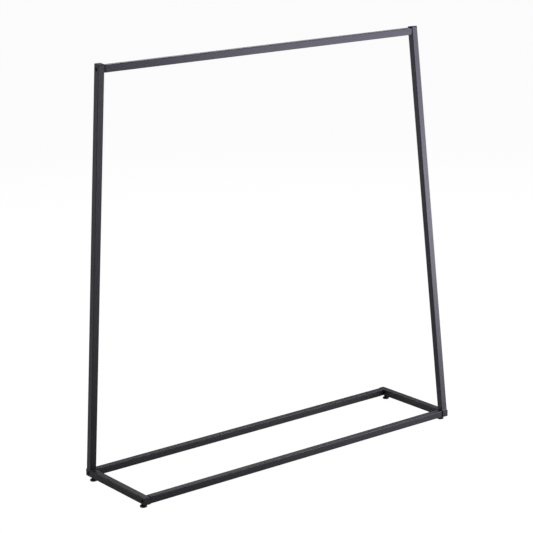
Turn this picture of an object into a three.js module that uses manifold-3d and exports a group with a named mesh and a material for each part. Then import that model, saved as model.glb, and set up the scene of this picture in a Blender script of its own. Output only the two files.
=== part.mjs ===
// Single-rail clothes rack in 25 mm square steel tube, knocked down flat for transport.
// Millimetres, +Z up. The origin is on the floor, under the middle of the base.
//
// Two welded side units are the same part, turned half round: a side rail that runs from
// front to back, and an upright that stands on one end of it and leans over its middle.
// The left upright stands at the back and the right one at the front. Three equal cross
// tubes, each bolted through the side units into a threaded plug, make the base and the bar.

import * as THREE from 'three';
import { mergeVertices } from 'three/addons/utils/BufferGeometryUtils.js';
import Module from 'manifold-3d';

const wasm = await Module();
wasm.setup();

// ---- driving dimensions ----

const RACK_WIDTH = 1400;        // over the outer faces of the side units
const SIDE_RAIL_LENGTH = 368;   // front to back, without the end caps
const BAR_TOP = 1494;           // top of the hanging bar above the floor
const TUBE = 25;                // outside of every square tube
const WALL = 1.2;
const CORNER_RADIUS = 2;
const FOOT_HEIGHT = 15;         // floor to underside of the base, with the feet screwed right in
const FOOT_INSET = 25;          // from the end of a side rail to the middle of a foot
const UPRIGHT_RISE = 14;        // how far an upright runs on past the middle of the bar

const BOLT_RADIUS = 3;          // M6
const BOLT_LENGTH = 40;         // under the head
const BOLT_HOLE_RADIUS = 3.3;
const STUD_RADIUS = 4;          // M8
const THREAD_BORE_RADIUS = 4.2; // clears the stud once both are faceted
const PAD_RADIUS = 12.5;

const ROUND_STEPS = 16;         // facets round a bolt, a stud or a bore
const PAD_STEPS = 24;
const OVERRUN = 1;              // how far a cutting solid passes the face it cuts
const SEAT_GAP = 0.1;           // between a leaning tube's end and the cap that sits on it

// ---- places worked out from them ----

const HALF_TUBE = TUBE / 2;
const TUBE_BORE = TUBE - 2 * WALL;
const CROSS_TUBE_LENGTH = RACK_WIDTH - 2 * TUBE;
const SIDE_X = RACK_WIDTH / 2 - HALF_TUBE;          // middle of a side unit
const RAIL_Y = SIDE_RAIL_LENGTH / 2 - HALF_TUBE;    // middle of the front and rear rails
const RAIL_Z = FOOT_HEIGHT + HALF_TUBE;
const RAIL_TOP = FOOT_HEIGHT + TUBE;
const BAR_Z = BAR_TOP - HALF_TUBE;
const FOOT_Y = SIDE_RAIL_LENGTH / 2 - FOOT_INSET;
const LEAN = Math.atan2(RAIL_Y, BAR_Z - RAIL_Z);    // of an upright, from the vertical
const UPRIGHT_LENGTH = Math.hypot(RAIL_Y, BAR_Z - RAIL_Z) + UPRIGHT_RISE;

// ---- materials ----

function finish(color, roughness, metalness) {
  return new THREE.MeshStandardMaterial({ color, roughness, metalness });
}

const POWDER_COAT = finish(0x242427, 0.45, 0.1);
const BLACK_PLASTIC = finish(0x161617, 0.6, 0);
const BLACK_ZINC = finish(0x1c1c1f, 0.4, 0.8);
const BRIGHT_ZINC = finish(0xa9abad, 0.35, 0.9);

// ---- solids ----

// Closed geometry to a solid: its corners are merged, and the slivers that this leaves go.
function toSolid(geometry) {
  const bare = new THREE.BufferGeometry();
  bare.setAttribute('position', geometry.getAttribute('position'));
  bare.setIndex(geometry.getIndex());
  const merged = mergeVertices(bare, 1e-4);
  const corners = merged.getIndex().array;
  const triangles = [];
  for (let i = 0; i < corners.length; i += 3) {
    const [a, b, c] = corners.slice(i, i + 3);
    if (a !== b && b !== c && c !== a) triangles.push(a, b, c);
  }
  return new wasm.Manifold(new wasm.Mesh({
    numProp: 3,
    vertProperties: new Float32Array(merged.getAttribute('position').array),
    triVerts: new Uint32Array(triangles),
  }));
}

function toGeometry(solid) {
  const { vertProperties, triVerts } = solid.getMesh();
  const geometry = new THREE.BufferGeometry();
  geometry.setAttribute('position', new THREE.BufferAttribute(vertProperties, 3));
  geometry.setIndex(new THREE.BufferAttribute(triVerts, 1));
  geometry.computeVertexNormals();
  return geometry;
}

function cut(body, ...tools) {
  return toGeometry(tools.reduce((rest, tool) => rest.subtract(toSolid(tool)), toSolid(body)));
}

function join(first, ...others) {
  return toGeometry(others.reduce((whole, other) => whole.add(toSolid(other)), toSolid(first)));
}

// ---- shared forms ----

function roundedSquare(side, radius, outline = new THREE.Shape()) {
  const reach = side / 2 - radius;
  const quarter = Math.PI / 2;
  const corners = [[reach, reach], [-reach, reach], [-reach, -reach], [reach, -reach]];
  corners.forEach(([x, y], i) => outline.absarc(x, y, radius, i * quarter, (i + 1) * quarter));
  return outline.closePath();
}

function prism(shape, depth, curveSegments) {
  return new THREE.ExtrudeGeometry(shape, { depth, curveSegments, bevelEnabled: false });
}

// A square tube that stands on z = 0.
function squareTube(length) {
  const section = roundedSquare(TUBE, CORNER_RADIUS);
  section.holes.push(roundedSquare(TUBE_BORE, CORNER_RADIUS - WALL, new THREE.Path()));
  return prism(section, length, 2);
}

// A drill along X, Y or Z, centred on a point and with a given length.
function drill(radius, length, axis, x, y, z) {
  const tool = new THREE.CylinderGeometry(radius, radius, length, ROUND_STEPS);
  if (axis === 'x') tool.rotateZ(Math.PI / 2);
  if (axis === 'z') tool.rotateX(Math.PI / 2);
  return tool.translate(x, y, z);
}

// A solid of revolution about Z, from [radius, height] pairs that run upwards on the outside.
function turned(profile, steps) {
  const points = profile.map(([radius, height]) => new THREE.Vector2(radius, height));
  return new THREE.LatheGeometry(points, steps).rotateX(Math.PI / 2);
}

// ---- tubes ----

function crossTube() {
  return squareTube(CROSS_TUBE_LENGTH).translate(0, 0, -CROSS_TUBE_LENGTH / 2).rotateY(Math.PI / 2);
}

// Lies along Y, drilled through for the two bolts, and from below for the two rivet nuts.
function sideRail() {
  const tube = squareTube(SIDE_RAIL_LENGTH).translate(0, 0, -SIDE_RAIL_LENGTH / 2);
  const holes = [-1, 1].flatMap((end) => [
    drill(BOLT_HOLE_RADIUS, TUBE + 2 * OVERRUN, 'x', 0, end * RAIL_Y, RAIL_Z),
    drill(RIVET_NUT.barrelRadius + 0.1, HALF_TUBE, 'z', 0, end * FOOT_Y, FOOT_HEIGHT),
  ]);
  return cut(tube.rotateX(Math.PI / 2).translate(0, 0, RAIL_Z), ...holes);
}

// Leans forward from the rear end of its side rail. The foot is mitred to lie flat on the
// rail, and the top is cut square to the tube.
function upright() {
  const tube = squareTube(UPRIGHT_LENGTH).rotateX(LEAN).translate(0, RAIL_Y, RAIL_Z);
  const belowRailTop = new THREE.BoxGeometry(2 * TUBE, 4 * TUBE, 2 * TUBE);
  belowRailTop.translate(0, RAIL_Y, RAIL_TOP - TUBE);
  const boltHole = drill(BOLT_HOLE_RADIUS, TUBE + 2 * OVERRUN, 'x', 0, 0, BAR_Z);
  return cut(tube, belowRailTop, boltHole);
}

// One bead across the tube, filling the corner between the upright and the rail: a
// quarter-round hollow face, with the root kept clear of the leaning wall.
function weldBead(leg, height) {
  const section = new THREE.Shape();
  section.moveTo(0, 0);
  section.lineTo(leg, 0);
  section.quadraticCurveTo(leg * 0.55, height * 0.55, 0, height);
  section.closePath();
  const length = TUBE - 2 * CORNER_RADIUS;
  return prism(section, length, 5).translate(0, 0, -length / 2).rotateX(Math.PI / 2).rotateZ(Math.PI / 2);
}

// ---- plugs, caps and fasteners ----

const PLUG = { side: TUBE_BORE - 0.2, cornerRadius: 1.2, length: 18, boreRadius: 3.2 };

// Threaded plug in the end of a cross tube. It runs along +X from the tube's end.
function threadedPlug() {
  const { side, cornerRadius, length, boreRadius } = PLUG;
  const block = prism(roundedSquare(side, cornerRadius), length, 1).rotateY(Math.PI / 2);
  return cut(block, drill(boreRadius, length + 2 * OVERRUN, 'x', length / 2, 0, 0));
}

const BOLT_HEAD = { flangeRadius: 6.8, flange: 1.2, domeRadius: 5.2, height: 3.3, socketAcross: 4, socketDepth: 2 };

// Flanged button-head bolt along X: the head stands out to -X of the origin, and the shank
// runs to +X.
function bolt() {
  const { flangeRadius, flange, domeRadius, height, socketAcross, socketDepth } = BOLT_HEAD;
  const chamfer = 0.8;
  const domeSteps = 4;
  const domeTurn = 0.36 * Math.PI;    // how far the dome turns before its flat top
  const dome = Array.from({ length: domeSteps + 1 }, (_, i) => {
    const angle = (i / domeSteps) * domeTurn;
    return [domeRadius * Math.cos(angle), flange + (height - flange) * Math.sin(angle) / Math.sin(domeTurn)];
  });
  const profile = [
    [0, -BOLT_LENGTH],
    [BOLT_RADIUS - chamfer, -BOLT_LENGTH],
    [BOLT_RADIUS, chamfer - BOLT_LENGTH],
    [BOLT_RADIUS, 0],
    [flangeRadius, 0],
    [flangeRadius, flange / 2],
    ...dome,
    [0, height],
  ];
  const socketRadius = socketAcross / 2 / Math.cos(Math.PI / 6);
  const socket = new THREE.CylinderGeometry(socketRadius, socketRadius, 2 * socketDepth, 6);
  socket.rotateX(Math.PI / 2).translate(0, 0, height);
  return cut(turned(profile, ROUND_STEPS), socket).rotateY(-Math.PI / 2);
}

const CAP = { head: 3.5, bevel: 1.2, skirtSide: 20, skirtWall: 1.6, skirtDepth: 7.5, finSide: TUBE_BORE - 0.2, fin: 1 };

// Moulded end cap. Its head covers the tube's end, which lies at z = 0, and its hollow
// skirt goes down into the tube, held there by two fins.
function endCap() {
  const rounded = new THREE.ExtrudeGeometry(roundedSquare(TUBE - 2 * CAP.bevel, CORNER_RADIUS), {
    depth: CAP.head,
    curveSegments: 2,
    bevelSize: CAP.bevel,
    bevelThickness: CAP.bevel,
    bevelSegments: 3,
  }).translate(0, 0, -CAP.bevel);
  const belowTubeEnd = new THREE.BoxGeometry(2 * TUBE, 2 * TUBE, TUBE).translate(0, 0, -HALF_TUBE);
  const head = cut(rounded, belowTubeEnd);
  const ring = (side, depth, top) => {
    const section = roundedSquare(side, CORNER_RADIUS);
    section.holes.push(roundedSquare(CAP.skirtSide - 2 * CAP.skirtWall, 0.8, new THREE.Path()));
    return prism(section, depth, 1).translate(0, 0, top - depth);
  };
  const skirt = ring(CAP.skirtSide, CAP.skirtDepth + OVERRUN, OVERRUN);
  const fins = [-2, -5].map((top) => ring(CAP.finSide, CAP.fin, top));
  return join(head, skirt, ...fins);
}

// ---- levelling feet ----

const RIVET_NUT = { flangeRadius: 8, flange: 1.5, barrelRadius: 5.5, bulgeRadius: 7, length: 14.5 };

// M8 rivet nut, set from below in the bottom wall of a side rail: its flange lies under the
// wall and its barrel has bulged out above it.
function rivetNut() {
  const wallTop = FOOT_HEIGHT + WALL;
  const { flangeRadius, flange, barrelRadius, bulgeRadius, length } = RIVET_NUT;
  return turned([
    [THREAD_BORE_RADIUS, FOOT_HEIGHT - flange],
    [flangeRadius, FOOT_HEIGHT - flange],
    [flangeRadius, FOOT_HEIGHT],
    [barrelRadius, FOOT_HEIGHT],
    [barrelRadius, wallTop + 0.1],
    [bulgeRadius, wallTop + 0.6],
    [bulgeRadius, wallTop + 2],
    [barrelRadius, wallTop + 3.4],
    [barrelRadius, FOOT_HEIGHT + length],
    [THREAD_BORE_RADIUS, FOOT_HEIGHT + length],
    [THREAD_BORE_RADIUS, FOOT_HEIGHT - flange],
  ], ROUND_STEPS);
}

const COLLAR = { across: 13, bottom: 6.9, top: 13.2 };
const STUD = { buttonRadius: 5, buttonBottom: 2.6, buttonTop: 4, neckRadius: 3.4, top: FOOT_HEIGHT + 21 };

// Stud with a hex collar to turn it by and a button end that swivels in the pad.
function footStud() {
  const chamfer = 1;
  const stud = turned([
    [0, STUD.buttonBottom],
    [STUD.buttonRadius, STUD.buttonBottom],
    [STUD.buttonRadius, STUD.buttonTop],
    [STUD.neckRadius, STUD.buttonTop + 0.7],
    [STUD.neckRadius, COLLAR.bottom + OVERRUN],
    [STUD_RADIUS, COLLAR.bottom + OVERRUN],
    [STUD_RADIUS, STUD.top - chamfer],
    [STUD_RADIUS - chamfer, STUD.top],
    [0, STUD.top],
  ], ROUND_STEPS);
  const collarHeight = COLLAR.top - COLLAR.bottom;
  const collarRadius = COLLAR.across / 2 / Math.cos(Math.PI / 6);
  const collar = new THREE.CylinderGeometry(collarRadius, collarRadius, collarHeight, 6);
  collar.rotateX(Math.PI / 2).translate(0, 0, (COLLAR.bottom + COLLAR.top) / 2);
  return join(stud, collar);
}

// Moulded pad, flat underneath, with a T-shaped pocket that holds the stud's button.
function footPad() {
  const soleRadius = PAD_RADIUS - 2;
  return turned([
    [0, 0],
    [soleRadius, 0],
    [PAD_RADIUS - 0.6, 0.6],
    [PAD_RADIUS, 2],
    [PAD_RADIUS, 3.6],
    [PAD_RADIUS - 0.8, 4.4],
    [8, 5.4],
    [7.4, 6.5],
    [4.3, 6.5],
    [4.3, 5.1],
    [5.5, 4.5],
    [5.5, 2.2],
    [0, 2.2],
  ], PAD_STEPS);
}

// ---- assembly ----

const rack = new THREE.Group();

function add(parent, name, geometry, material) {
  const part = new THREE.Mesh(geometry, material);
  part.name = name;
  parent.add(part);
  return part;
}

for (const [name, y, z] of [['front_rail', -RAIL_Y, RAIL_Z], ['rear_rail', RAIL_Y, RAIL_Z], ['top_bar', 0, BAR_Z]]) {
  add(rack, name, crossTube(), POWDER_COAT).position.set(0, y, z);
}

// A side unit as it stands on the left. footEnd is where its upright stands, once in place.
function sideUnit(side, footEnd, otherEnd) {
  const unit = new THREE.Group();
  add(unit, `${side}_side_rail`, sideRail(), POWDER_COAT);
  add(unit, `${side}_upright`, upright(), POWDER_COAT);

  // The middle of the upright and half its width, measured level along the top of the rail.
  const uprightY = RAIL_Y - (RAIL_TOP - RAIL_Z) * Math.tan(LEAN);
  const uprightReach = HALF_TUBE / Math.cos(LEAN);
  const inner = add(unit, `${side}_upright_inner_weld`, weldBead(4, 4.5), POWDER_COAT);
  inner.position.set(0, uprightY - uprightReach - 0.6, RAIL_TOP);
  inner.rotation.z = Math.PI;
  const outer = add(unit, `${side}_upright_outer_weld`, weldBead(1.1, 2.2), POWDER_COAT);
  outer.position.set(0, uprightY + uprightReach + 0.1, RAIL_TOP);

  const joints = [[`${footEnd}_rail`, RAIL_Y, RAIL_Z], [`${otherEnd}_rail`, -RAIL_Y, RAIL_Z], ['top_bar', 0, BAR_Z]];
  for (const [tube, y, z] of joints) {
    add(unit, `${tube}_${side}_bolt`, bolt(), BLACK_ZINC).position.set(-HALF_TUBE, y, z);
    add(unit, `${tube}_${side}_threaded_plug`, threadedPlug(), BRIGHT_ZINC).position.set(HALF_TUBE, y, z);
  }

  for (const [end, direction] of [[footEnd, 1], [otherEnd, -1]]) {
    const cap = add(unit, `${end}_${side}_end_cap`, endCap(), BLACK_PLASTIC);
    cap.position.set(0, direction * SIDE_RAIL_LENGTH / 2, RAIL_Z);
    cap.rotation.x = -direction * Math.PI / 2;

    const foot = new THREE.Group();
    foot.position.y = direction * FOOT_Y;
    add(foot, `${end}_${side}_rivet_nut`, rivetNut(), BLACK_ZINC);
    add(foot, `${end}_${side}_foot_stud`, footStud(), BLACK_ZINC);
    add(foot, `${end}_${side}_foot_pad`, footPad(), BLACK_PLASTIC);
    unit.add(foot);
  }

  const leaning = new THREE.Group();
  leaning.position.set(0, RAIL_Y, RAIL_Z);
  leaning.rotation.x = LEAN;
  add(leaning, `${side}_upright_top_cap`, endCap(), BLACK_PLASTIC).position.z = UPRIGHT_LENGTH + SEAT_GAP;
  unit.add(leaning);
  return unit;
}

const leftUnit = sideUnit('left', 'rear', 'front');
leftUnit.position.x = -SIDE_X;
const rightUnit = sideUnit('right', 'front', 'rear');
rightUnit.position.x = SIDE_X;
rightUnit.rotation.z = Math.PI;
rack.add(leftUnit, rightUnit);

export default rack;
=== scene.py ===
import math

import bmesh
import bpy
from mathutils import Euler, Matrix, Vector


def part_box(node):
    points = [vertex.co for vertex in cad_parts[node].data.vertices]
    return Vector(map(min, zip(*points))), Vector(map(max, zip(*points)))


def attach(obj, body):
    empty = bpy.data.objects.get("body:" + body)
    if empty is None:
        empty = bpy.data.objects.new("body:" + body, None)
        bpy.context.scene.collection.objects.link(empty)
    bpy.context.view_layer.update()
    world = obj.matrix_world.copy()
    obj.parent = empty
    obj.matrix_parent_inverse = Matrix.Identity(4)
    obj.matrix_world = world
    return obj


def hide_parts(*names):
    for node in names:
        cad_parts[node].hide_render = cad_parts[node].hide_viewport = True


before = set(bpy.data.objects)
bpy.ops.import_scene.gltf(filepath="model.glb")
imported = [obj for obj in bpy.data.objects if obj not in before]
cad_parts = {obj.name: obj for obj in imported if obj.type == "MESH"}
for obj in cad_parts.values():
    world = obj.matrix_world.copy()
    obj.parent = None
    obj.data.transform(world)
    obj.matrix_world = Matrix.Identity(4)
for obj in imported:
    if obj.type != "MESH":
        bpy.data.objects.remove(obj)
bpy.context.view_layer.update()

# Looks for the single-rail clothes rack: black powder coated square tube, two welded side
# units, three bolted cross tubes, moulded caps and swivel levelling feet. Metres throughout.

scene = bpy.context.scene
MM = 0.001

# ---- sizes taken from the frame ----

front_low, front_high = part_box("front_rail")
rail_low, rail_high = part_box("left_side_rail")
bar_low, bar_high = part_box("top_bar")
foot_low, foot_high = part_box("rear_left_foot_stud")
inner_weld_low, inner_weld_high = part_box("left_upright_inner_weld")
outer_weld_low, outer_weld_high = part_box("left_upright_outer_weld")

TUBE = front_high.z - front_low.z
CROSS_LENGTH = front_high.x - front_low.x
RAIL_LENGTH = rail_high.y - rail_low.y
SIDE_X = (rail_low.x + rail_high.x) / 2       # middle of the left side unit
RAIL_Z = (front_low.z + front_high.z) / 2
RAIL_Y = -(front_low.y + front_high.y) / 2
BAR_Z = (bar_low.z + bar_high.z) / 2
FOOT_Y = (foot_low.y + foot_high.y) / 2
LEAN = math.atan2(RAIL_Y, BAR_Z - RAIL_Z)

# ---- sizes that the boxes don't give ----

WALL = 1.2 * MM
CORNER_RADIUS = 2 * MM
UPRIGHT_RISE = 14 * MM          # how far an upright runs on past the middle of the bar
UPRIGHT_LENGTH = math.hypot(RAIL_Y, BAR_Z - RAIL_Z) + UPRIGHT_RISE
CAP_GAP = 0.1 * MM              # between a leaning tube's end and its cap
ROUND = 48                      # points round every lofted section


# ---- nodes ----

def add(tree, kind, sockets=None, **settings):
    """Adds a node with its settings, and fills or links its inputs by name or number."""
    made = tree.nodes.new(kind)
    for name, value in settings.items():
        setattr(made, name, value)
    for name, value in (sockets or {}).items():
        for source in value if isinstance(value, list) else [value]:
            if isinstance(source, bpy.types.NodeSocket):
                tree.links.new(source, made.inputs[name])
            else:
                made.inputs[name].default_value = source
    return made


def geometry_tree(name, inputs):
    """A geometry tree with named inputs, given as name: (socket type, default)."""
    tree = bpy.data.node_groups.new(name, "GeometryNodeTree")
    tree.interface.new_socket("Geometry", in_out="INPUT", socket_type="NodeSocketGeometry")
    for label, (kind, default) in inputs.items():
        socket = tree.interface.new_socket(label, in_out="INPUT", socket_type="NodeSocket" + kind)
        if default is not None:
            socket.default_value = default
    tree.interface.new_socket("Geometry", in_out="OUTPUT", socket_type="NodeSocketGeometry")
    return tree, tree.nodes.new("NodeGroupInput").outputs


def end_tree(tree, geometry, finish):
    """Closes a tree with Realize Instances and Set Material."""
    real = add(tree, "GeometryNodeRealizeInstances", {"Geometry": geometry})
    coated = add(tree, "GeometryNodeSetMaterial", {"Geometry": real.outputs[0], "Material": finish})
    add(tree, "NodeGroupOutput", {"Geometry": coated.outputs[0]})
    return tree


def run_tree(tree, mesh, **inputs):
    """Runs a geometry tree on a mesh, rounds its sharp edges, and returns a plain mesh."""
    maker = bpy.data.objects.new("maker", mesh)
    scene.collection.objects.link(maker)
    modifier = maker.modifiers.new("tree", "NODES")
    modifier.node_group = tree
    edge = inputs.pop("edge", 0)
    for item in tree.interface.items_tree:
        key = item.name.lower().replace(" ", "_")
        if item.in_out == "INPUT" and key in inputs:
            modifier[item.identifier] = inputs[key]
    if edge:
        bevel = maker.modifiers.new("edges", "BEVEL")
        bevel.width = edge
        bevel.segments = 2
        bevel.limit_method = "ANGLE"
        bevel.angle_limit = math.radians(40)
    result = bpy.data.meshes.new_from_object(maker.evaluated_get(bpy.context.evaluated_depsgraph_get()))
    bpy.data.objects.remove(maker)
    return result


# ---- meshes ----

def loft(loops, closed=False):
    """Mesh through rings of equal count. A ring of one point closes an end."""
    points = [point for ring in loops for point in ring]
    starts = [sum(len(ring) for ring in loops[:i]) for i in range(len(loops))]
    faces = []
    pairs = list(zip(range(len(loops)), range(1, len(loops))))
    if closed:
        pairs.append((len(loops) - 1, 0))
    for a, b in pairs:
        for i in range(ROUND):
            j = (i + 1) % ROUND
            low = [starts[a] + (k if len(loops[a]) > 1 else 0) for k in (i, j)]
            high = [starts[b] + (k if len(loops[b]) > 1 else 0) for k in (j, i)]
            corners = list(dict.fromkeys(low + high))
            faces.append(corners)
    mesh = bpy.data.meshes.new("loft")
    mesh.from_pydata(points, [], faces)
    work = bmesh.new()
    work.from_mesh(mesh)
    bmesh.ops.recalc_face_normals(work, faces=work.faces)
    work.to_mesh(mesh)
    work.free()
    return mesh


def angles():
    return [2 * math.pi * (i + 0.5) / ROUND for i in range(ROUND)]


def circle(radius, height):
    return [(radius * math.cos(a), radius * math.sin(a), height) for a in angles()]


def hexagon(across, height, within=1.0):
    """Hexagon ring whose corners are turned down to a radius, as on a chamfered nut."""
    sixth = math.pi / 3
    radii = [min(across / 2 / math.cos((a + sixth / 2) % sixth - sixth / 2), within) for a in angles()]
    return [(r * math.cos(a), r * math.sin(a), height) for r, a in zip(radii, angles())]


def square(side, radius, height):
    """Square ring with round corners."""
    reach = side / 2 - radius
    quarter = ROUND // 4
    ring = []
    for i in range(ROUND):
        corner, step = divmod(i, quarter)
        a = math.pi / 2 * (corner + step / (quarter - 1))
        centre_x = reach if corner in (0, 3) else -reach
        centre_y = reach if corner in (0, 1) else -reach
        ring.append((centre_x + radius * math.cos(a), centre_y + radius * math.sin(a), height))
    return ring


def arc(steps, start=0.0, end=math.pi / 2):
    """Sines and cosines of evenly spaced angles, for rounded edges."""
    span = [start + (end - start) * i / steps for i in range(steps + 1)]
    return [(math.sin(a), math.cos(a)) for a in span]


def shade(mesh, sharp=35):
    """Smooth shading that keeps edges sharper than an angle."""
    mesh.shade_smooth()
    mesh.set_sharp_from_angle(angle=math.radians(sharp))


def piece(name, mesh, body, material, stands_for=None, place=Matrix()):
    """Turns a mesh into a finished piece: placed, shaded, coated, and riding on its body."""
    mesh.name = name
    mesh.transform(place)
    shade(mesh)
    mesh.materials.clear()
    mesh.materials.append(material)
    made = bpy.data.objects.new(name, mesh)
    scene.collection.objects.link(made)
    flat = made.modifiers.new("flat faces", "WEIGHTED_NORMAL")
    flat.keep_sharp = True
    flat.weight = 100
    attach(made, body)
    for node in (name,) if stands_for is None else stands_for:
        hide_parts(node)


# ---- materials ----

def linear(code):
    """sRGB hex to linear RGBA."""
    parts = [int(code[i:i + 2], 16) / 255 for i in (1, 3, 5)]
    return (*[c / 12.92 if c <= 0.04045 else ((c + 0.055) / 1.055) ** 2.4 for c in parts], 1.0)


def new_material(name, **values):
    """A Principled material; values are its sockets. Returns it with its tree and shader."""
    material = bpy.data.materials.new(name)
    material.use_nodes = True
    tree = material.node_tree
    shader = tree.nodes["Principled BSDF"]
    for label, value in values.items():
        shader.inputs[label.replace("_", " ")].default_value = value
    return material, tree, shader


def powder_coat():
    """Satin black polyester powder, baked on steel: an even near-black film with a soft,
    slightly violet sheen and the shallow orange peel of flowed powder. The peel and the grain
    in it are drawn at about their real 1.6 mm and 0.35 mm; the film's slow cloudiness is 60 mm."""
    material, tree, shader = new_material("satin black powder coat", IOR=1.5)
    place = add(tree, "ShaderNodeTexCoord").outputs["Object"]
    cloud = add(tree, "ShaderNodeTexNoise", {"Vector": place, "Scale": 1 / (60 * MM), "Detail": 3.0})
    peel = add(tree, "ShaderNodeTexNoise", {"Vector": place, "Scale": 1 / (1.6 * MM), "Detail": 1.0})
    grain = add(tree, "ShaderNodeTexNoise", {"Vector": place, "Scale": 1 / (0.35 * MM), "Detail": 2.0})
    colour = add(tree, "ShaderNodeMix", {
        0: cloud.outputs["Fac"], 6: linear("#1a1a1d"), 7: linear("#202023")}, data_type="RGBA")
    gloss = add(tree, "ShaderNodeMapRange", {
        "Value": cloud.outputs["Fac"], "To Min": 0.36, "To Max": 0.46})
    peeled = add(tree, "ShaderNodeBump", {
        "Height": peel.outputs["Fac"], "Distance": 0.02 * MM, "Strength": 0.5})
    grained = add(tree, "ShaderNodeBump", {
        "Height": grain.outputs["Fac"], "Distance": 0.006 * MM, "Strength": 0.4,
        "Normal": peeled.outputs[0]})
    tree.links.new(colour.outputs[2], shader.inputs["Base Color"])
    tree.links.new(gloss.outputs[0], shader.inputs["Roughness"])
    tree.links.new(grained.outputs[0], shader.inputs["Normal"])
    return material


def moulded_polyethylene(name, low, high, roughness):
    """Low-density polyethylene from a spark-eroded mould: waxy, dull black, finely pitted. The
    pits are drawn at 0.25 mm, several times their real size, or they would not show."""
    material, tree, shader = new_material(name, IOR=1.51)
    place = add(tree, "ShaderNodeTexCoord").outputs["Object"]
    cloud = add(tree, "ShaderNodeTexNoise", {"Vector": place, "Scale": 1 / (8 * MM), "Detail": 2.0})
    pits = add(tree, "ShaderNodeTexNoise", {
        "Vector": place, "Scale": 1 / (0.25 * MM), "Detail": 2.0, "Roughness": 0.6})
    colour = add(tree, "ShaderNodeMix", {
        0: cloud.outputs["Fac"], 6: linear(low), 7: linear(high)}, data_type="RGBA")
    gloss = add(tree, "ShaderNodeMapRange", {
        "Value": cloud.outputs["Fac"], "To Min": roughness - 0.06, "To Max": roughness + 0.06})
    pitted = add(tree, "ShaderNodeBump", {
        "Height": pits.outputs["Fac"], "Distance": 0.012 * MM, "Strength": 0.5})
    tree.links.new(colour.outputs[2], shader.inputs["Base Color"])
    tree.links.new(gloss.outputs[0], shader.inputs["Roughness"])
    tree.links.new(pitted.outputs[0], shader.inputs["Normal"])
    return material


def moulded_nylon():
    """Black nylon foot pad, moulded smooth and scuffed grey round the sole by the floor."""
    material, tree, shader = new_material("moulded black nylon", IOR=1.53)
    place = add(tree, "ShaderNodeTexCoord").outputs["Object"]
    height = add(tree, "ShaderNodeSeparateXYZ", {0: place}).outputs["Z"]
    near_floor = add(tree, "ShaderNodeMapRange", {
        "Value": height, "From Min": 0.0, "From Max": 1.5 * MM, "To Min": 1.0, "To Max": 0.0})
    scratches = add(tree, "ShaderNodeTexNoise", {
        "Vector": place, "Scale": 1 / (0.5 * MM), "Detail": 4.0, "Roughness": 0.7})
    scuffed = add(tree, "ShaderNodeMath", {
        0: near_floor.outputs[0], 1: scratches.outputs["Fac"]}, operation="MULTIPLY")
    colour = add(tree, "ShaderNodeMix", {
        0: scuffed.outputs[0], 6: linear("#131315"), 7: linear("#3a3a3b")}, data_type="RGBA")
    gloss = add(tree, "ShaderNodeMapRange", {"Value": scuffed.outputs[0], "To Min": 0.45, "To Max": 0.75})
    scratched = add(tree, "ShaderNodeBump", {
        "Height": scratches.outputs["Fac"], "Distance": 0.01 * MM, "Strength": 0.4})
    tree.links.new(colour.outputs[2], shader.inputs["Base Color"])
    tree.links.new(gloss.outputs[0], shader.inputs["Roughness"])
    tree.links.new(scratched.outputs[0], shader.inputs["Normal"])
    return material


def zinc_plate(name, low, high, roughness):
    """Zinc plate with a chromate dip: metal, cloudy in tone over 3 mm, with the fine marks of
    the turned steel under it, which are drawn at 0.2 mm so that they show."""
    material, tree, shader = new_material(name, Metallic=1.0)
    place = add(tree, "ShaderNodeTexCoord").outputs["Object"]
    cloud = add(tree, "ShaderNodeTexNoise", {"Vector": place, "Scale": 1 / (3 * MM), "Detail": 3.0})
    marks = add(tree, "ShaderNodeTexNoise", {"Vector": place, "Scale": 1 / (0.2 * MM), "Detail": 1.0})
    colour = add(tree, "ShaderNodeMix", {
        0: cloud.outputs["Fac"], 6: linear(low), 7: linear(high)}, data_type="RGBA")
    gloss = add(tree, "ShaderNodeMapRange", {
        "Value": cloud.outputs["Fac"], "To Min": roughness - 0.06, "To Max": roughness + 0.08})
    marked = add(tree, "ShaderNodeBump", {
        "Height": marks.outputs["Fac"], "Distance": 0.004 * MM, "Strength": 0.4})
    tree.links.new(colour.outputs[2], shader.inputs["Base Color"])
    tree.links.new(gloss.outputs[0], shader.inputs["Roughness"])
    tree.links.new(marked.outputs[0], shader.inputs["Normal"])
    return material


POWDER = powder_coat()
POLYETHYLENE = moulded_polyethylene("moulded black polyethylene", "#111112", "#171718", 0.58)
# The collars' black plastic is real, but their near-black colour, darker than the caps', is painted shade
# for the shadowed gap at each cross tube's joint.
COLLAR_SHADE_POLYETHYLENE = moulded_polyethylene("matt black polyethylene", "#050505", "#080808", 0.88)
NYLON = moulded_nylon()
BLACK_ZINC = zinc_plate("black chromated zinc plate", "#29292d", "#38373d", 0.4)
BRIGHT_ZINC = zinc_plate("bright zinc plate", "#b4b6b8", "#c8cacc", 0.3)


# ---- tubes ----

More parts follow.
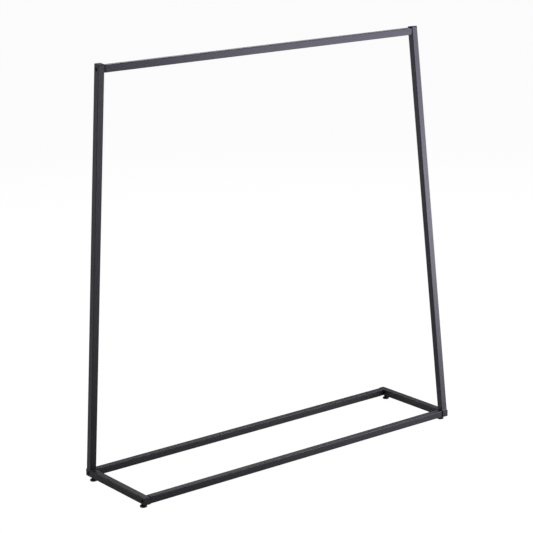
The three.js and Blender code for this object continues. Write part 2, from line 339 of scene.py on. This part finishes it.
def tube_tree():
    """Square tube with round corners, standing on its lower end, then leaned and placed, and
    cut level at a height. Its walls are whole: bolts and rivet nuts cover the places where the
    real tubes are drilled."""
    tree, given = geometry_tree("square tube", {
        "Side": ("Float", TUBE),
        "Wall": ("Float", WALL),
        "Corner Radius": ("Float", CORNER_RADIUS),
        "Length": ("Float", 1.0),
        "Turn": ("Vector", (0.0, 0.0, 0.0)),
        "Place": ("Vector", (0.0, 0.0, 0.0)),
        "Level Cut": ("Float", -1.0),
        "Finish": ("Material", None),
    })
    overrun = 10 * MM             # how far the bore runs past both ends, for a clean cut

    walls = add(tree, "ShaderNodeMath", {0: given["Wall"], 1: 2.0}, operation="MULTIPLY")
    bore_side = add(tree, "ShaderNodeMath", {0: given["Side"], 1: walls.outputs[0]}, operation="SUBTRACT")
    bore_radius = add(tree, "ShaderNodeMath", {
        0: given["Corner Radius"], 1: given["Wall"]}, operation="SUBTRACT")
    bore_end = add(tree, "ShaderNodeMath", {0: given["Length"], 1: overrun}, operation="ADD")
    solids = []
    for side, radius, start, end in (
            (given["Side"], given["Corner Radius"], 0.0, given["Length"]),
            (bore_side.outputs[0], bore_radius.outputs[0], -overrun, bore_end.outputs[0])):
        low = add(tree, "ShaderNodeCombineXYZ", {"Z": start})
        high = add(tree, "ShaderNodeCombineXYZ", {"Z": end})
        path = add(tree, "GeometryNodeCurvePrimitiveLine", {
            "Start": low.outputs[0], "End": high.outputs[0]})
        outline = add(tree, "GeometryNodeCurvePrimitiveQuadrilateral", {"Width": side, "Height": side})
        rounded = add(tree, "GeometryNodeFilletCurve", {
            "Curve": outline.outputs[0], "Count": 8, "Radius": radius}, mode="POLY")
        solid = add(tree, "GeometryNodeCurveToMesh", {
            "Curve": path.outputs[0], "Profile Curve": rounded.outputs[0], "Fill Caps": True})
        solids.append(solid.outputs[0])
    outside, inside = solids
    hollow = add(tree, "GeometryNodeMeshBoolean", {
        0: outside, 1: inside}, operation="DIFFERENCE", solver="MANIFOLD")
    placed = add(tree, "GeometryNodeTransform", {
        "Geometry": hollow.outputs[0], "Rotation": given["Turn"], "Translation": given["Place"]})

    block_width = 2.0
    block_height = 1.0
    middle = add(tree, "ShaderNodeMath", {
        0: given["Level Cut"], 1: block_height / 2}, operation="SUBTRACT")
    under = add(tree, "ShaderNodeCombineXYZ", {"Z": middle.outputs[0]})
    block = add(tree, "GeometryNodeMeshCube", {"Size": (block_width, block_width, block_height)})
    lowered = add(tree, "GeometryNodeTransform", {
        "Geometry": block.outputs[0], "Translation": under.outputs[0]})
    cut = add(tree, "GeometryNodeMeshBoolean", {
        0: placed.outputs[0], 1: lowered.outputs[0]}, operation="DIFFERENCE", solver="MANIFOLD")
    return end_tree(tree, cut.outputs[0], given["Finish"])


TUBES = tube_tree()
EDGE = 0.3 * MM                 # rounding of a sawn, deburred and coated edge
COLLAR = 4 * MM                 # width of the moulded collar at each end of a cross tube
COLLAR_INSET = 0.4 * MM         # how far it stays inside the tube's outline
COLLAR_STEP = 0.1 * MM          # how much narrower its bore is than the tube's own
QUARTER = math.pi / 2
HALF_TURN = Matrix.Rotation(math.pi, 4, "Z")


def tube(name, length, turn, place, level_cut=-1.0, unit=Matrix()):
    """One tube piece. A level cut far below the floor cuts nothing."""
    mesh = run_tree(
        TUBES, bpy.data.meshes.new(name), length=length, turn=turn, place=place,
        level_cut=level_cut, finish=POWDER, edge=EDGE)
    piece(name, mesh, "frame", POWDER, place=unit)


def collar_mesh():
    """Ring round a threaded plug, on z = 0, between a cross tube's end and the side unit."""
    side = TUBE - 2 * COLLAR_INSET
    bore = TUBE - 2 * WALL - COLLAR_STEP
    edge = 0.25 * MM
    loops = [square(side - 2 * edge, CORNER_RADIUS - edge, 0.0)]
    loops.append(square(side, CORNER_RADIUS, edge))
    loops.append(square(side, CORNER_RADIUS, COLLAR - edge))
    loops.append(square(side - 2 * edge, CORNER_RADIUS - edge, COLLAR))
    loops.append(square(bore, CORNER_RADIUS - WALL, COLLAR))
    loops.append(square(bore, CORNER_RADIUS - WALL, 0.0))
    return loft(loops, closed=True)


def cross_tubes():
    length = CROSS_LENGTH - 2 * COLLAR
    for name, y, z in (
            ("front_rail", -RAIL_Y, RAIL_Z), ("rear_rail", RAIL_Y, RAIL_Z), ("top_bar", 0.0, BAR_Z)):
        tube(name, length, (0.0, QUARTER, 0.0), (-length / 2, y, z))
        for side, sign in (("left", -1), ("right", 1)):
            spot = Matrix.Translation((sign * CROSS_LENGTH / 2, y, z))
            inward = Matrix.Rotation(-sign * QUARTER, 4, "Y")
            # Each collar is a real plastic ring whose colour is darkened to paint the shade of the joint
            # gap.
            piece(f"{name}_{side}_collar", collar_mesh(), "frame",
                  COLLAR_SHADE_POLYETHYLENE, place=spot @ inward, stands_for=())


def side_tubes(side, unit):
    """Side rail and upright of the left side unit, which unit turns to its own side."""
    tube(f"{side}_side_rail", RAIL_LENGTH, (-QUARTER, 0.0, 0.0),
         (SIDE_X, -RAIL_LENGTH / 2, RAIL_Z), unit=unit)
    tube(f"{side}_upright", UPRIGHT_LENGTH, (LEAN, 0.0, 0.0),
         (SIDE_X, RAIL_Y, RAIL_Z), level_cut=RAIL_Z + TUBE / 2, unit=unit)


# ---- weld beads ----

RIPPLE_DEPTH = 0.3 * MM
WELD_GAP = 0.05 * MM            # between an upright's wall and its bead


def weld_tree():
    """Raises the overlapping crescents of a hand-run weld along X. The "across" attribute of
    the mesh it is given runs from 0 to 1 over the bead's face, and is 0 elsewhere."""
    tree, given = geometry_tree("weld ripples", {
        "Ripple": ("Float", 1.3 * MM),
        "Depth": ("Float", RIPPLE_DEPTH),
        "Seed": ("Float", 1.0),
        "Finish": ("Material", None),
    })
    bow = 3.0                    # a crescent's middle is a quarter of this off its ends, in ripples
    unevenness = 2.0             # how far the ripples wander, in ripples
    wander_size = 6 * MM
    hump_peak = 1 / 4            # of a share times its rest, which the rise is divided by
    place = add(tree, "GeometryNodeInputPosition")
    x = add(tree, "ShaderNodeSeparateXYZ", {0: place.outputs[0]})
    across = add(tree, "GeometryNodeInputNamedAttribute", {"Name": "across"}, data_type="FLOAT")
    rest = add(tree, "ShaderNodeMath", {0: 1.0, 1: across.outputs[0]}, operation="SUBTRACT")
    hump = add(tree, "ShaderNodeMath", {0: across.outputs[0], 1: rest.outputs[0]}, operation="MULTIPLY")
    wander = add(tree, "ShaderNodeTexNoise", {
        "Vector": place.outputs[0], "W": given["Seed"], "Scale": 1 / wander_size, "Detail": 1.0},
        noise_dimensions="4D")
    steps = add(tree, "ShaderNodeMath", {0: x.outputs[0], 1: given["Ripple"]}, operation="DIVIDE")
    curved = add(tree, "ShaderNodeMath", {
        0: hump.outputs[0], 1: bow, 2: steps.outputs[0]}, operation="MULTIPLY_ADD")
    uneven = add(tree, "ShaderNodeMath", {
        0: wander.outputs[0], 1: unevenness, 2: curved.outputs[0]}, operation="MULTIPLY_ADD")
    crest = add(tree, "ShaderNodeMath", {0: uneven.outputs[0], 1: 1.0}, operation="FLOORED_MODULO")
    swell = add(tree, "ShaderNodeMapRange", {
        "Value": crest.outputs[0], "From Max": 0.8}, interpolation_type="SMOOTHSTEP")
    shaped = add(tree, "ShaderNodeMath", {0: swell.outputs[0], 1: hump.outputs[0]}, operation="MULTIPLY")
    full = add(tree, "ShaderNodeMath", {0: shaped.outputs[0], 1: 1 / hump_peak}, operation="MULTIPLY")
    rise = add(tree, "ShaderNodeMath", {0: full.outputs[0], 1: given["Depth"]}, operation="MULTIPLY")
    outward = add(tree, "GeometryNodeInputNormal")
    offset = add(tree, "ShaderNodeVectorMath", {
        0: outward.outputs[0], "Scale": rise.outputs[0]}, operation="SCALE")
    moved = add(tree, "GeometryNodeSetPosition", {
        "Geometry": given["Geometry"], "Offset": offset.outputs[0]})
    return end_tree(tree, moved.outputs[0], given["Finish"])


WELDS = weld_tree()


def weld(name, wall, leg, height, seed, unit):
    """Fillet weld between an upright's leaning wall and its rail. The wall stands at a given
    Y, and a positive leg reaches away from it towards the back."""
    half = TUBE / 2 - CORNER_RADIUS
    rings = 120
    face = 30                    # points across the bead's face
    flat = (ROUND - face) // 2   # points across each of its two flat sides
    fullness = 1.1               # 1 gives a flat face, less a hollow one, more a full one
    taper = 2 * MM               # length over which each end rounds down
    end_size = 0.35
    loops = []
    weights = []
    for i in range(rings + 1):
        along = -half + 2 * half * i / rings
        near_end = max(0.0, (abs(along) - half + taper) / taper)
        size = min(1.0, end_size + (1 - end_size) * math.sqrt(1 - near_end ** 2))
        ring = []
        for k in range(ROUND):
            if k < face:
                t = k / face
                y = (1 - t) ** 2 + fullness * t * (1 - t)
                z = t ** 2 + fullness * t * (1 - t)
                weights.append(t)
            elif k < face + flat:
                y, z = 0.0, 1 - (k - face) / flat
                weights.append(0.0)
            else:
                y, z = (k - face - flat) / flat, 0.0
                weights.append(0.0)
            z *= height * size
            y = y * leg * size - z * math.tan(LEAN)
            ring.append((SIDE_X + along, wall + y, RAIL_Z + TUBE / 2 + z))
        loops.append(ring)
    first = tuple(sum(c) / ROUND for c in zip(*loops[0]))
    last = tuple(sum(c) / ROUND for c in zip(*loops[-1]))
    mesh = loft([[first], *loops, [last]])
    across = mesh.attributes.new("across", "FLOAT", "POINT")
    across.data.foreach_set("value", [0.0, *weights, 0.0])
    depth = min(RIPPLE_DEPTH, abs(leg) * 0.1)
    mesh = run_tree(WELDS, mesh, seed=seed, depth=depth, finish=POWDER)
    piece(name, mesh, "frame", POWDER, place=unit)


def welds(side, seed, unit):
    middle = RAIL_Y - TUBE / 2 * math.tan(LEAN)
    reach = TUBE / 2 / math.cos(LEAN) + WELD_GAP
    front = middle - reach
    back = middle + reach
    weld(f"{side}_upright_inner_weld", front, inner_weld_low.y - front,
         inner_weld_high.z - inner_weld_low.z, seed, unit)
    weld(f"{side}_upright_outer_weld", back, outer_weld_high.y - back,
         outer_weld_high.z - outer_weld_low.z, seed + 1, unit)


# ---- moulded caps ----

CAP_HEAD = 3.5 * MM
CAP_ROUNDING = 1.2 * MM
SKIRT_SIDE = 20 * MM
SKIRT_WALL = 1.6 * MM
SKIRT_DEPTH = 7.5 * MM
FIN_SIDE = TUBE - 2 * WALL - 0.2 * MM
FIN = 1 * MM
FIN_TOPS = (-2 * MM, -5 * MM)


def cap_mesh():
    """Cap on a tube's end at z = 0: a softly domed head, a seam line where it meets the
    tube, and a hollow skirt with two fins that grip inside the tube."""
    dome = 0.15 * MM
    seam = 0.25 * MM
    fin_slope = 0.2 * MM
    corner = CORNER_RADIUS
    tight_corner = 0.6           # share of the corner radius on the head's rim and the fins
    loops = [[(0.0, 0.0, CAP_HEAD)]]
    for share in (0.3, 0.6, 0.85):
        flat = (TUBE - 2 * CAP_ROUNDING) * share
        loops.append(square(flat, corner * share, CAP_HEAD - dome * share ** 2))
    for rise, reach in arc(6):
        side = TUBE - 2 * CAP_ROUNDING * (1 - rise)
        height = CAP_HEAD - dome - CAP_ROUNDING * (1 - reach)
        loops.append(square(side, corner - CAP_ROUNDING * (1 - rise) * tight_corner, height))
    loops.append(square(TUBE, corner, seam))
    loops.append(square(TUBE - 2 * seam, corner, 0.0))
    loops.append(square(SKIRT_SIDE, corner, 0.0))
    for top in FIN_TOPS:
        loops.append(square(SKIRT_SIDE, corner, top + fin_slope))
        loops.append(square(FIN_SIDE, corner * tight_corner, top))
        loops.append(square(FIN_SIDE, corner * tight_corner, top - FIN / 2))
        loops.append(square(SKIRT_SIDE, corner, top - FIN))
    loops.append(square(SKIRT_SIDE, corner, -SKIRT_DEPTH))
    hollow = SKIRT_SIDE - 2 * SKIRT_WALL
    loops.append(square(hollow, corner / 2, -SKIRT_DEPTH))
    loops.append(square(hollow, corner / 2, 0.0))
    loops.append([(0.0, 0.0, 0.0)])
    return loft(loops)


def facing(place, turn_x):
    """Stands a cap at a place, turned about X from straight up."""
    return Matrix.Translation(place) @ Matrix.Rotation(turn_x, 4, "X")


def caps(side, foot_end, other_end, unit):
    for end, sign in ((foot_end, 1), (other_end, -1)):
        place = facing((SIDE_X, sign * RAIL_LENGTH / 2, RAIL_Z), -sign * QUARTER)
        piece(f"{end}_{side}_end_cap", cap_mesh(), "frame", POLYETHYLENE,
              place=unit @ place)
    tip = UPRIGHT_LENGTH + CAP_GAP
    top = Vector((SIDE_X, RAIL_Y - tip * math.sin(LEAN), RAIL_Z + tip * math.cos(LEAN)))
    piece(f"{side}_upright_top_cap", cap_mesh(), "frame", POLYETHYLENE,
          place=unit @ facing(top, LEAN))


# ---- threads, bolts and feet ----

def thread_tree():
    """Cuts a right-hand thread into the part of a round mesh between two heights."""
    tree, given = geometry_tree("cut thread", {
        "Pitch": ("Float", 1 * MM),
        "Depth": ("Float", 0.6 * MM),
        "Start": ("Float", 0.0),
        "End": ("Float", 1.0),
        "Finish": ("Material", None),
    })
    place = add(tree, "GeometryNodeInputPosition")
    xyz = add(tree, "ShaderNodeSeparateXYZ", {0: place.outputs[0]})
    x, y, z = xyz.outputs
    turn = add(tree, "ShaderNodeMath", {0: y, 1: x}, operation="ARCTAN2")
    turns = add(tree, "ShaderNodeMath", {0: turn.outputs[0], 1: 2 * math.pi}, operation="DIVIDE")
    rise = add(tree, "ShaderNodeMath", {0: z, 1: given["Pitch"]}, operation="DIVIDE")
    phase = add(tree, "ShaderNodeMath", {0: rise.outputs[0], 1: turns.outputs[0]}, operation="SUBTRACT")
    flank = add(tree, "ShaderNodeMath", {0: phase.outputs[0], 1: 0.5}, operation="PINGPONG")
    groove = add(tree, "ShaderNodeMapRange", {
        "Value": flank.outputs[0], "From Min": 0.06, "From Max": 0.44})
    above = add(tree, "ShaderNodeMath", {0: z, 1: given["Start"]}, operation="SUBTRACT")
    below = add(tree, "ShaderNodeMath", {0: given["End"], 1: z}, operation="SUBTRACT")
    nearer = add(tree, "ShaderNodeMath", {0: above.outputs[0], 1: below.outputs[0]}, operation="MINIMUM")
    fade = add(tree, "ShaderNodeMapRange", {"Value": nearer.outputs[0], "From Max": given["Pitch"]})
    cut = add(tree, "ShaderNodeMath", {0: groove.outputs[0], 1: fade.outputs[0]}, operation="MULTIPLY")
    depth = add(tree, "ShaderNodeMath", {0: cut.outputs[0], 1: given["Depth"]}, operation="MULTIPLY")
    outward = add(tree, "ShaderNodeVectorMath", {
        0: place.outputs[0], 1: (1.0, 1.0, 0.0)}, operation="MULTIPLY")
    unit = add(tree, "ShaderNodeVectorMath", {0: outward.outputs[0]}, operation="NORMALIZE")
    inward = add(tree, "ShaderNodeMath", {0: depth.outputs[0], 1: -1.0}, operation="MULTIPLY")
    offset = add(tree, "ShaderNodeVectorMath", {
        0: unit.outputs[0], "Scale": inward.outputs[0]}, operation="SCALE")
    moved = add(tree, "GeometryNodeSetPosition", {
        "Geometry": given["Geometry"], "Offset": offset.outputs[0]})
    return end_tree(tree, moved.outputs[0], given["Finish"])


THREADS = thread_tree()


def thread_rings(radius, low, high, pitch):
    """Rings close enough together for a thread, from low to high."""
    rings_a_turn = 8
    count = math.ceil((high - low) / pitch * rings_a_turn)
    return [circle(radius, low + (high - low) * i / count) for i in range(count + 1)]


M6 = dict(radius=3 * MM, pitch=1 * MM, depth=0.6 * MM)
M8 = dict(radius=4 * MM, pitch=1.25 * MM, depth=0.75 * MM)


def bolt_mesh():
    """Flanged M6 button-head screw, 40 mm under the head, with its head above z = 0."""
    length = 40 * MM
    thread_top = -14 * MM
    chamfer = 0.7 * MM
    head = 3.3 * MM
    flange = 1.2 * MM
    flange_radius = 6.8 * MM
    dome_radius = 5.2 * MM
    edge = 0.3 * MM
    socket = 4 * MM              # across its flats
    socket_floor = head - 2.1 * MM
    drill_point = 0.5 * MM       # hollow cone in the socket's floor
    socket_chamfer = 0.35 * MM
    socket_mouth = socket * 0.6
    crown = 2.75 * MM            # flat round the socket's mouth
    fillet = 0.25 * MM           # under the head
    radius = M6["radius"]
    loops = [[(0.0, 0.0, socket_floor - drill_point)]]
    loops += [hexagon(socket, socket_floor), hexagon(socket, head - socket_chamfer)]
    loops += [circle(socket_mouth, head), circle(crown, head)]
    for rise, reach in arc(8):
        loops.append(circle(crown + (dome_radius - crown) * rise, flange + (head - flange) * reach))
    for rise, reach in arc(3):
        loops.append(circle(flange_radius - edge * (1 - rise), flange - edge * (1 - reach)))
    loops += [circle(flange_radius, edge / 2), circle(flange_radius - edge / 2, 0.0)]
    loops += [circle(radius + fillet, 0.0), circle(radius, -fillet)]
    loops += reversed(thread_rings(radius, chamfer - length, thread_top, M6["pitch"]))
    loops += [circle(radius - chamfer, -length), [(0.0, 0.0, -length)]]
    return run_tree(
        THREADS, loft(loops), pitch=M6["pitch"], depth=M6["depth"],
        start=chamfer - length, end=thread_top, finish=BLACK_ZINC)


def bolts(side, foot_end, other_end, unit):
    head_out = Matrix.Rotation(-QUARTER, 4, "Y")
    for cross, y, z in (
            (f"{foot_end}_rail", RAIL_Y, RAIL_Z), (f"{other_end}_rail", -RAIL_Y, RAIL_Z),
            ("top_bar", 0.0, BAR_Z)):
        place = Matrix.Translation((SIDE_X - TUBE / 2, y, z)) @ head_out
        piece(f"{cross}_{side}_bolt", bolt_mesh(), "frame", BLACK_ZINC,
              place=unit @ place)


def stud_mesh():
    """M8 foot stud: a button that swivels in the pad, a neck, a chamfered hex collar and a
    threaded shank. Heights are above the floor."""
    across = 13 * MM
    collar_low = 6.9 * MM
    collar_high = 13.2 * MM
    radius = M8["radius"]
    top = foot_high.z
    chamfer = 1 * MM
    bevel = 0.7 * MM
    bevel_steps = 4
    face = 0.98                  # radius of the collar's flat faces, over half its width
    widening = 0.045             # what each step of the bevel adds to that
    button = 5 * MM
    button_face = 4.6 * MM
    button_low = 2.6 * MM
    button_edge = 2.9 * MM
    button_shoulder = 4 * MM
    neck = 3.4 * MM
    neck_low = 4.7 * MM
    fillet = 0.4 * MM            # between the collar and the shank
    thread_low = collar_high + 0.6 * MM
    loops = [[(0.0, 0.0, button_low)], circle(button_face, button_low)]
    loops += [circle(button, button_edge), circle(button, button_shoulder)]
    loops += [circle(neck, neck_low), circle(neck, collar_low)]
    loops.append(circle(across / 2 * face, collar_low))
    for step in range(1, bevel_steps + 1):
        height = collar_low + bevel * step / bevel_steps
        loops.append(hexagon(across, height, across / 2 * (face + widening * step)))
    for step in range(bevel_steps, 0, -1):
        height = collar_high - bevel * step / bevel_steps
        loops.append(hexagon(across, height, across / 2 * (face + widening * step)))
    loops.append(circle(across / 2 * face, collar_high))
    loops += [circle(radius + fillet, collar_high), circle(radius, collar_high + fillet)]
    loops += thread_rings(radius, thread_low, top - chamfer, M8["pitch"])
    loops += [circle(radius - chamfer, top), [(0.0, 0.0, top)]]
    return run_tree(
        THREADS, loft(loops), pitch=M8["pitch"], depth=M8["depth"],
        start=thread_low, end=top - chamfer, finish=BLACK_ZINC)


def pad_mesh():
    """Moulded foot pad with a rounded sole edge, a shoulder and a pocket for the button."""
    radius = 12.5 * MM
    sole = 1.3 * MM              # rounding of the sole's edge
    flat_inset = 0.5 * MM
    rim_top = 4.4 * MM
    rim = 1.2 * MM               # rounding of the rim's edge
    shoulder = ((9.6, 5.9), (8.4, 6.2), (7.6, 6.45))     # radius and height, in mm
    top = 6.5 * MM
    top_radius = 7 * MM
    mouth = 4.5 * MM
    lip = 4.3 * MM
    lip_high = 6.3 * MM
    lip_low = 5.1 * MM
    pocket = 5.5 * MM
    pocket_high = 4.5 * MM
    pocket_floor = 2.2 * MM
    loops = [[(0.0, 0.0, 0.0)], circle(radius - sole - flat_inset, 0.0)]
    for rise, reach in arc(6):
        loops.append(circle(radius - sole * (1 - rise), sole * (1 - reach)))
    for rise, reach in arc(5):
        loops.append(circle(radius - rim * (1 - reach), rim_top + rim * rise))
    loops += [circle(reach * MM, height * MM) for reach, height in shoulder]
    loops += [circle(top_radius, top), circle(mouth, top)]
    loops += [circle(lip, lip_high), circle(lip, lip_low)]
    loops += [circle(pocket, pocket_high), circle(pocket, pocket_floor), [(0.0, 0.0, pocket_floor)]]
    return loft(loops)


def nut_mesh():
    """Rivet nut, set: flange under the wall, bulge above it."""
    bore = 4.2 * MM
    barrel = 5.5 * MM
    under = RAIL_Z - TUBE / 2
    barrel_top = under + 14.5 * MM
    barrel_edge = under + 14.2 * MM
    wall_top = under + WALL
    flange = 8 * MM
    flange_low = under - 1.5 * MM
    flange_edge = under - 1.2 * MM
    edge = 0.3 * MM
    bulge = 1.5 * MM
    bulge_foot = 6.8 * MM
    bulge_low = wall_top + 0.1 * MM
    bulge_foot_height = wall_top + 0.5 * MM
    bulge_middle = wall_top + 1.9 * MM
    bulge_high = wall_top + 3.6 * MM
    bulge_reach = 1.3 * MM
    bulge_start = 0.2            # angle at which the bulge's arc begins, and ends, in radians
    loops = [circle(bore, flange_edge), circle(bore + edge, flange_low)]
    loops += [circle(flange - edge, flange_low), circle(flange, flange_edge), circle(flange, under)]
    loops += [circle(barrel, under), circle(barrel, bulge_low), circle(bulge_foot, bulge_foot_height)]
    for rise, reach in arc(6, bulge_start, math.pi - bulge_start):
        loops.append(circle(barrel + bulge * rise, bulge_middle - bulge_reach * reach))
    loops += [circle(barrel, bulge_high), circle(barrel, barrel_edge)]
    loops += [circle(barrel - edge, barrel_top), circle(bore, barrel_top)]
    return loft(loops, closed=True)


def feet(side, foot_end, other_end, unit):
    for end, sign in ((foot_end, 1), (other_end, -1)):
        place = unit @ Matrix.Translation((SIDE_X, sign * FOOT_Y, 0.0))
        foot = f"{end}_{side}_foot"
        piece(f"{end}_{side}_rivet_nut", nut_mesh(), "frame", BLACK_ZINC, place=place)
        piece(foot + "_stud", stud_mesh(), foot + "_stud", BLACK_ZINC, place=place)
        piece(foot + "_pad", pad_mesh(), foot + "_pad", NYLON, place=place)


# ---- the rack ----

cross_tubes()
for seed, side, foot_end, other_end, unit in (
        (1, "left", "rear", "front", Matrix()), (3, "right", "front", "rear", HALF_TURN)):
    side_tubes(side, unit)
    welds(side, seed, unit)
    caps(side, foot_end, other_end, unit)
    bolts(side, foot_end, other_end, unit)
    feet(side, foot_end, other_end, unit)

for name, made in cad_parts.items():
    if name.endswith("_threaded_plug"):
        made.data.materials.clear()
        made.data.materials.append(BRIGHT_ZINC)


# ---- floor, light and camera ----

def paper():
    """White backdrop paper. The camera sees it lit from behind as well, as in a light tent, so
    it stays near white with faint shadows, and the rack is lit by its plain matt surface."""
    material, tree, shader = new_material("white backdrop paper", Roughness=0.9, Specular_IOR_Level=0.0)
    shader.inputs["Base Color"].default_value = linear("#e6e6e6")
    seen = add(tree, "ShaderNodeLightPath")
    glow = add(tree, "ShaderNodeEmission", {"Color": linear("#ffffff"), "Strength": 0.97})
    matt = add(tree, "ShaderNodeBsdfDiffuse", {"Color": linear("#606060")})
    tent = add(tree, "ShaderNodeAddShader", {0: glow.outputs[0], 1: matt.outputs[0]})
    mixed = add(tree, "ShaderNodeMixShader", {
        0: seen.outputs["Is Camera Ray"], 1: shader.outputs[0], 2: tent.outputs[0]})
    tree.links.new(mixed.outputs[0], tree.nodes["Material Output"].inputs["Surface"])
    return material


def softbox(name, azimuth, rise, distance, size, brightness, colour="#ffffff", target=(0.0, 0.0, 0.7)):
    """Rectangular lamp aimed at the middle of the rack, or at another target. Azimuth runs
    clockwise from behind the rack, as seen from above; brightness is that of the lamp's face."""
    width, height = size
    turn = math.radians(azimuth)
    middle = Vector(target)
    spot = Vector((math.sin(turn) * distance, math.cos(turn) * distance, rise))
    data = bpy.data.lights.new(name, "AREA")
    data.shape = "RECTANGLE"
    data.size = width
    data.size_y = height
    data.energy = brightness * width * height * math.pi
    data.color = linear(colour)[:3]
    lamp = bpy.data.objects.new(name, data)
    aim = (spot - middle).to_track_quat("Z", "Y").to_matrix().to_4x4()
    lamp.matrix_world = Matrix.Translation(spot) @ aim
    lamp.visible_camera = False
    scene.collection.objects.link(lamp)


def studio():
    """Plain pale floor and plain soft light, strongest from the right and the front."""
    mesh = bpy.data.meshes.new("floor")
    reach = 60.0
    corners = [(-reach, -reach, 0), (reach, -reach, 0), (reach, reach, 0), (-reach, reach, 0)]
    mesh.from_pydata(corners, [], [(0, 1, 2, 3)])
    mesh.materials.append(paper())
    floor = bpy.data.objects.new("floor", mesh)
    scene.collection.objects.link(floor)

    softbox("key softbox", azimuth=128, rise=1.25, distance=3.05, size=(2.6, 2.4),
            brightness=5.0, colour="#e7e4ff")
    softbox("low front softbox", azimuth=138, rise=0.39, distance=2.2, size=(1.4, 0.7),
            brightness=1.5)
    softbox("floor softbox", azimuth=135, rise=0.9, distance=1.41, size=(0.5, 0.5),
            brightness=9.0, target=(0.8, -0.4, 0.0))
    softbox("back softbox", azimuth=40, rise=3.35, distance=4.2, size=(3.0, 1.6),
            brightness=3.1)
    softbox("side softbox", azimuth=285, rise=1.4, distance=3.9, size=(2.0, 2.2),
            brightness=4.2)
    softbox("back fill softbox", azimuth=335, rise=0.8, distance=5.0, size=(3.0, 1.5),
            brightness=0.6)
    softbox("rear softbox", azimuth=350, rise=1.0, distance=2.6, size=(1.2, 1.8),
            brightness=1.0)
    softbox("right softbox", azimuth=75, rise=1.0, distance=3.2, size=(1.6, 2.0),
            brightness=0.7)

    world = bpy.data.worlds.new("studio")
    scene.world = world
    world.use_nodes = True
    tree = world.node_tree
    seen = add(tree, "ShaderNodeLightPath")
    tree.nodes["Background"].inputs["Color"].default_value = linear("#ffffff")
    tree.links.new(seen.outputs["Is Camera Ray"], tree.nodes["Background"].inputs["Strength"])
    scene.view_settings.view_transform = "Standard"


def camera():
    """Long lens at the front left, higher than the hanging bar and looking down at the rack."""
    data = bpy.data.cameras.new("camera")
    data.sensor_width = 36.0
    data.lens = 119.83
    made = bpy.data.objects.new("camera", data)
    scene.collection.objects.link(made)
    place = Matrix.Translation((-3.7568, -4.9189, 2.3021))
    heading = math.radians(37.233)
    tilt = math.radians(14.552)
    roll = math.radians(-1.212)
    aim = Euler((QUARTER - tilt, 0.0, -heading)).to_matrix().to_4x4()
    made.matrix_world = place @ aim @ Matrix.Rotation(roll, 4, "Z")
    scene.camera = made


studio()
camera()
